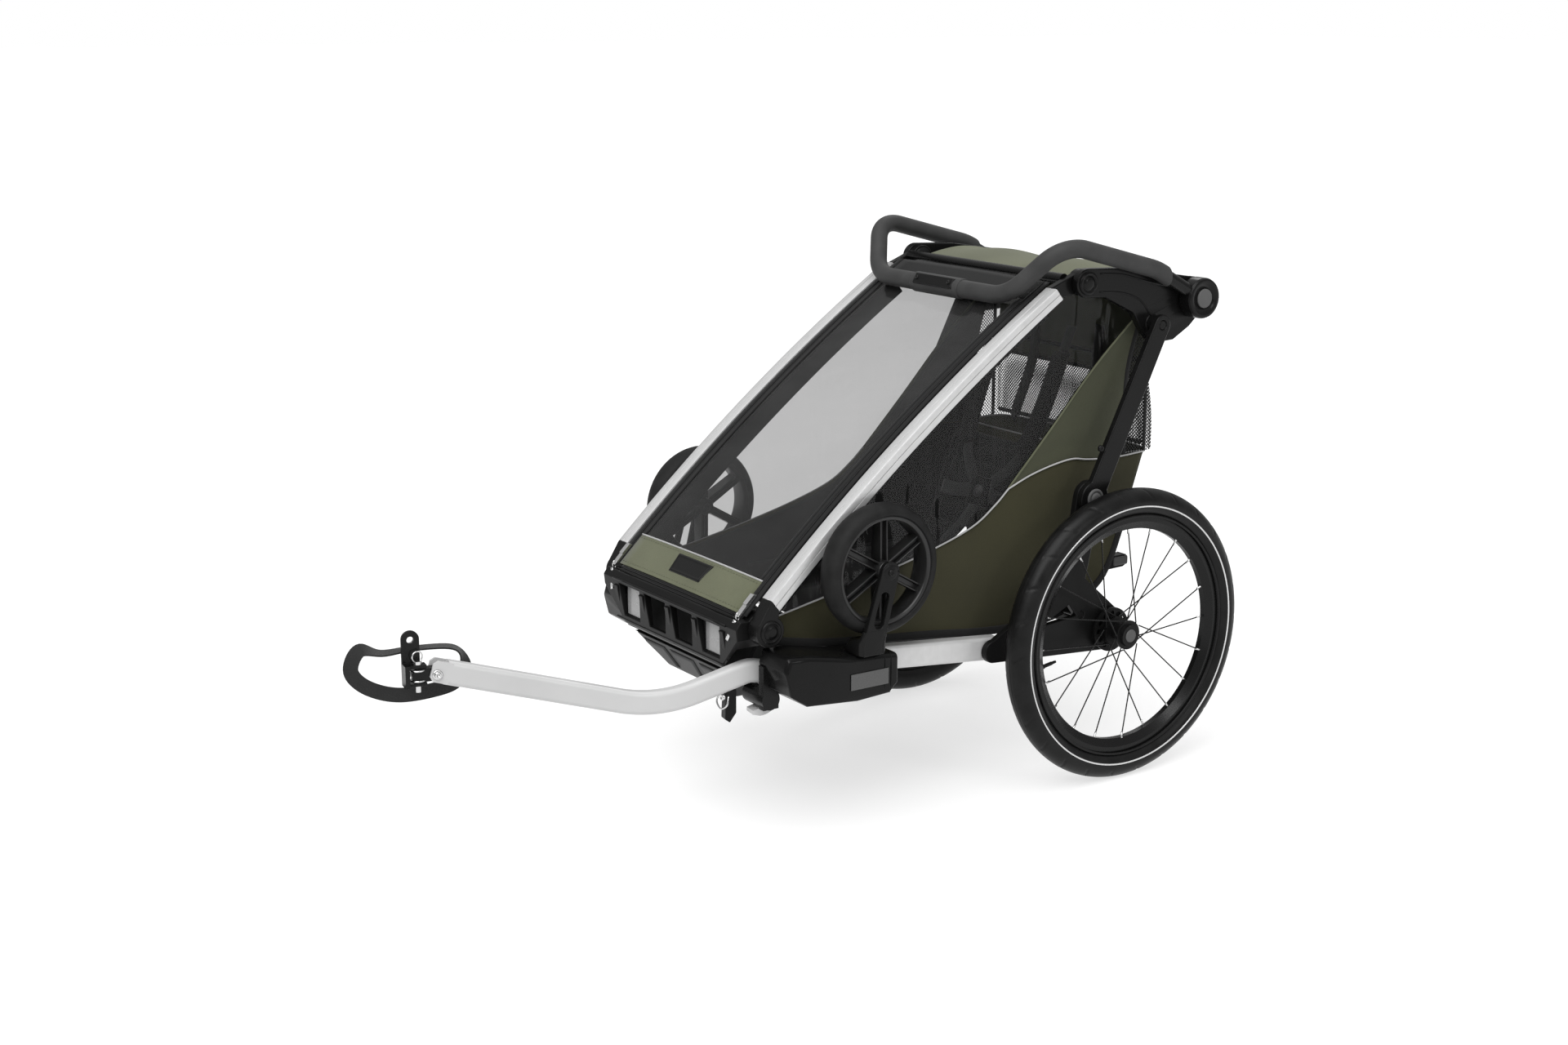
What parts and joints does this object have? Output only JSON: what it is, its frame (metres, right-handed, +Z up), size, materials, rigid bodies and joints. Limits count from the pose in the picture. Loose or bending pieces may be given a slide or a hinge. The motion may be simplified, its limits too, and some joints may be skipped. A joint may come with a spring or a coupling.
{
  "type": "child bicycle trailer",
  "caption": "Folding covered child trailer that hooks to a bicycle's rear axle, with a tilting push bar, spoked wheels and stored stroller wheels.",
  "frame": {"origin": "on the ground under the middle of the whole object", "axes": "+Y from the hitch towards the rear, +X to the trailer's left, +Z up"},
  "size_m": [0.629, 1.544, 0.9137],
  "materials": {
    "bare_aluminium": "satin anodised",
    "white_paint": "semi-gloss",
    "black_plastic": "fine texture",
    "grey_plastic": "fine texture",
    "glossy_black_plastic": "gloss",
    "steel": "plated",
    "dark_steel": "satin",
    "tyre_rubber": "matte",
    "grip_foam": "closed-cell foam",
    "olive_fabric": "plain weave",
    "black_fabric": "plain weave",
    "clear_window": "clear film",
    "black_webbing": "ribbed webbing",
    "reflector": "prismatic"
  },
  "bodies": {
    "base_frame": {"axle_beam": "dark_steel", "rear_plates": "black_plastic", "side_rails": "bare_aluminium", "front_housings": "black_plastic", "front_reflectors": "reflector", "front_bumper": "black_plastic", "front_hinge_pins": "black_plastic", "footwell_hull": "black_plastic", "cabin_tub": "black_fabric", "hitch_arm": "white_paint", "hitch_receiver": "dark_steel", "hitch_latch": "black_plastic", "safety_strap": "black_webbing", "side_panels": "olive_fabric", "seat_base": "black_fabric", "seat_back": "black_fabric", "harness": "black_webbing", "rear_panel": "olive_fabric", "cargo_bag": "olive_fabric"},
    "pillar_frame": {"pillars": "bare_aluminium", "pillar_knuckles": "black_plastic", "top_hinge_pins": "black_plastic", "front_crossbar": "dark_steel", "front_cover": "clear_window"},
    "top_frame": {"top_links": "black_plastic", "rear_crossbar": "dark_steel", "canopy": "olive_fabric"},
    "upright_frame": {"rear_uprights": "dark_steel"},
    "handlebar": {"handlebar_tube": "dark_steel", "handlebar_grip": "grip_foam", "grip_clamp": "black_plastic", "handlebar_hubs": "black_plastic"},
    "left_handlebar_button": {"left_handlebar_button": "grey_plastic"},
    "left_rear_wheel": {"left_tyre": "tyre_rubber", "left_rim": "dark_steel", "left_spokes": "steel", "left_hub": "black_plastic"},
    "left_hub_button": {"left_hub_button": "grey_plastic"},
    "left_stroller_caster": {"left_stroller_fork": "black_plastic"},
    "left_stroller_wheel": {"left_stroller_wheel": "grey_plastic", "left_stroller_tyre": "tyre_rubber"},
    "left_release_tab": {"left_release_tab": "grey_plastic"},
    "left_brake_pin": {"left_brake_pin": "steel"},
    "left_zip_slider": {"left_zip_slider": "steel"},
    "right_handlebar_button": {"right_handlebar_button": "grey_plastic"},
    "right_rear_wheel": {"right_tyre": "tyre_rubber", "right_rim": "dark_steel", "right_spokes": "steel", "right_hub": "black_plastic"},
    "right_hub_button": {"right_hub_button": "grey_plastic"},
    "right_stroller_caster": {"right_stroller_fork": "black_plastic"},
    "right_stroller_wheel": {"right_stroller_wheel": "grey_plastic", "right_stroller_tyre": "tyre_rubber"},
    "right_release_tab": {"right_release_tab": "grey_plastic"},
    "right_brake_pin": {"right_brake_pin": "steel"},
    "right_zip_slider": {"right_zip_slider": "steel"},
    "hitch_coupler": {"hitch_coupler": "dark_steel"},
    "bike_adaptor": {"bike_adaptor": "dark_steel"},
    "hitch_pin": {"hitch_pin": "steel"},
    "brake_lever": {"brake_lever": "black_plastic"}
  },
  "joints": [
    {"name": "frame_fold", "type": "hinge", "parent": "base_frame", "child": "pillar_frame", "pos_m": [0, -0.1495, 0.349], "axis": [-1, 0, 0], "range_deg": [0, 33.3], "deforming": ["side_panels", "seat_back", "harness", "rear_panel", "cargo_bag"]},
    {"name": "top_link_pivot", "type": "hinge", "parent": "pillar_frame", "child": "top_frame", "pos_m": [0, 0.4705, 0.839], "axis": [-1, 0, 0], "range_deg": [0, 7.1]},
    {"name": "rear_upright_pivot", "type": "hinge", "parent": "top_frame", "child": "upright_frame", "pos_m": [0, 0.6145, 0.762], "axis": [-1, 0, 0], "range_deg": [0, 67.8]},
    {"name": "handlebar_tilt", "type": "hinge", "parent": "top_frame", "child": "handlebar", "pos_m": [0, 0.7055, 0.8], "axis": [-1, 0, 0], "range_deg": [0, 165]},
    {"name": "left_handlebar_button_press", "type": "slide", "parent": "handlebar", "child": "left_handlebar_button", "axis": [-1, 0, 0], "range_m": [0, 0.005], "stiffness_N_per_m": 400},
    {"name": "left_rear_wheel_spin", "type": "hinge", "parent": "base_frame", "child": "left_rear_wheel", "pos_m": [0.291, 0.5255, 0.25], "axis": [1, 0, 0], "continuous": true},
    {"name": "left_hub_button_press", "type": "slide", "parent": "left_rear_wheel", "child": "left_hub_button", "axis": [-1, 0, 0], "range_m": [0, 0.004], "stiffness_N_per_m": 400},
    {"name": "left_stroller_swivel", "type": "hinge", "parent": "base_frame", "child": "left_stroller_caster", "pos_m": [0.263, 0.0025, 0.3], "axis": [0, 0, 1], "range_deg": [-3, 3]},
    {"name": "left_stroller_wheel_spin", "type": "hinge", "parent": "left_stroller_caster", "child": "left_stroller_wheel", "pos_m": [0.263, 0.0335, 0.4295], "axis": [1, 0, 0], "continuous": true},
    {"name": "left_release_tab_press", "type": "slide", "parent": "base_frame", "child": "left_release_tab", "axis": [0, -1, 0], "range_m": [0, 0.004], "stiffness_N_per_m": 400},
    {"name": "left_brake_pin_slide", "type": "slide", "parent": "base_frame", "child": "left_brake_pin", "axis": [1, 0, 0], "range_m": [0, 0.006]},
    {"name": "right_handlebar_button_press", "type": "slide", "parent": "handlebar", "child": "right_handlebar_button", "axis": [1, 0, 0], "range_m": [0, 0.005], "stiffness_N_per_m": 400},
    {"name": "right_rear_wheel_spin", "type": "hinge", "parent": "base_frame", "child": "right_rear_wheel", "pos_m": [-0.291, 0.5255, 0.25], "axis": [1, 0, 0], "continuous": true},
    {"name": "right_hub_button_press", "type": "slide", "parent": "right_rear_wheel", "child": "right_hub_button", "axis": [1, 0, 0], "range_m": [0, 0.004], "stiffness_N_per_m": 400},
    {"name": "right_stroller_swivel", "type": "hinge", "parent": "base_frame", "child": "right_stroller_caster", "pos_m": [-0.263, 0.0025, 0.3], "axis": [0, 0, 1], "range_deg": [-3, 3]},
    {"name": "right_stroller_wheel_spin", "type": "hinge", "parent": "right_stroller_caster", "child": "right_stroller_wheel", "pos_m": [-0.263, 0.0335, 0.4295], "axis": [1, 0, 0], "continuous": true},
    {"name": "right_release_tab_press", "type": "slide", "parent": "base_frame", "child": "right_release_tab", "axis": [0, -1, 0], "range_m": [0, 0.004], "stiffness_N_per_m": 400},
    {"name": "right_brake_pin_slide", "type": "slide", "parent": "base_frame", "child": "right_brake_pin", "axis": [-1, 0, 0], "range_m": [0, 0.006]},
    {"name": "hitch_pitch", "type": "hinge", "parent": "base_frame", "child": "hitch_coupler", "pos_m": [0.10269, -0.64631, 0.338], "axis": [0.9863, -0.165, 0], "range_deg": [-25, 25]},
    {"name": "hitch_yaw", "type": "hinge", "parent": "hitch_coupler", "child": "bike_adaptor", "pos_m": [0.0984, -0.67195, 0.338], "axis": [0, 0, 1], "range_deg": [-55, 55]},
    {"name": "hitch_pin_lift", "type": "slide", "parent": "hitch_coupler", "child": "hitch_pin", "axis": [0, 0, 1], "range_m": [0, 0.03]},
    {"name": "brake_lever_press", "type": "hinge", "parent": "base_frame", "child": "brake_lever", "pos_m": [0.17, 0.4665, 0.282], "axis": [-1, 0, 0], "range_deg": [0, 18]},
    {"name": "left_zip_run", "type": "hinge", "parent": "pillar_frame", "child": "left_zip_slider", "pos_m": [0.191, 2.39095, -2.24695], "axis": [1, 0, 0], "range_deg": [0, 10]},
    {"name": "right_zip_run", "type": "hinge", "parent": "pillar_frame", "child": "right_zip_slider", "pos_m": [-0.191, 2.39095, -2.24695], "axis": [1, 0, 0], "range_deg": [0, 10]}
  ],
  "couplings": [
    {"joint": "top_link_pivot", "follows": "frame_fold", "ratio": 0.21319},
    {"joint": "rear_upright_pivot", "follows": "frame_fold", "ratio": 2.0358},
    {"joint": "left_brake_pin_slide", "follows": "brake_lever_press", "m_per_rad": 0.019097},
    {"joint": "right_brake_pin_slide", "follows": "brake_lever_press", "m_per_rad": 0.019097}
  ]
}
